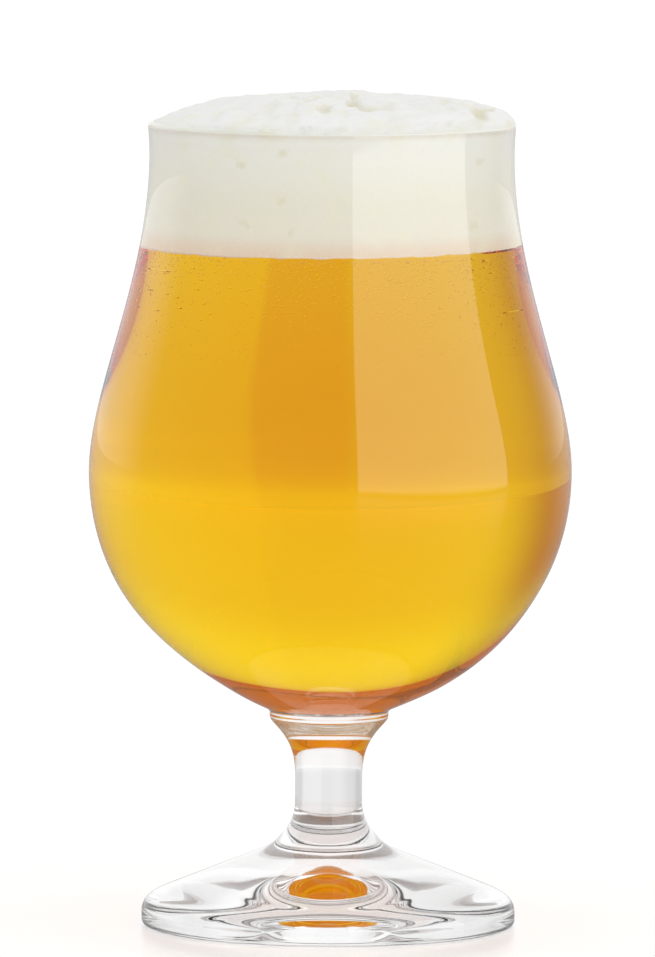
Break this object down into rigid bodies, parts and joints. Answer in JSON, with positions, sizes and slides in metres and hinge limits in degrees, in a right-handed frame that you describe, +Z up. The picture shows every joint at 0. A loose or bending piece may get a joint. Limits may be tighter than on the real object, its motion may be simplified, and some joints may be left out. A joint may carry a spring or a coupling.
{
  "type": "tulip beer glass",
  "caption": "Stemmed tulip beer glass with a bulbous bowl, drawn-in neck, short solid stem and conical foot, full of golden beer under a white foam head.",
  "frame": {"origin": "on the table, on the axis of the glass", "axes": "+Z up the axis of the glass, from the foot to the rim; X and Y are any two directions across it"},
  "size_m": [0.095, 0.095, 0.1644],
  "materials": {
    "clear_glass": "clear, fire polished",
    "golden_beer": "clear golden liquid",
    "white_foam": "fine matt bubbles"
  },
  "bodies": {
    "root": {"foot": "clear_glass", "stem": "clear_glass", "bowl": "clear_glass", "beer": "golden_beer", "foam_head": "white_foam"}
  },
  "joints": []
}
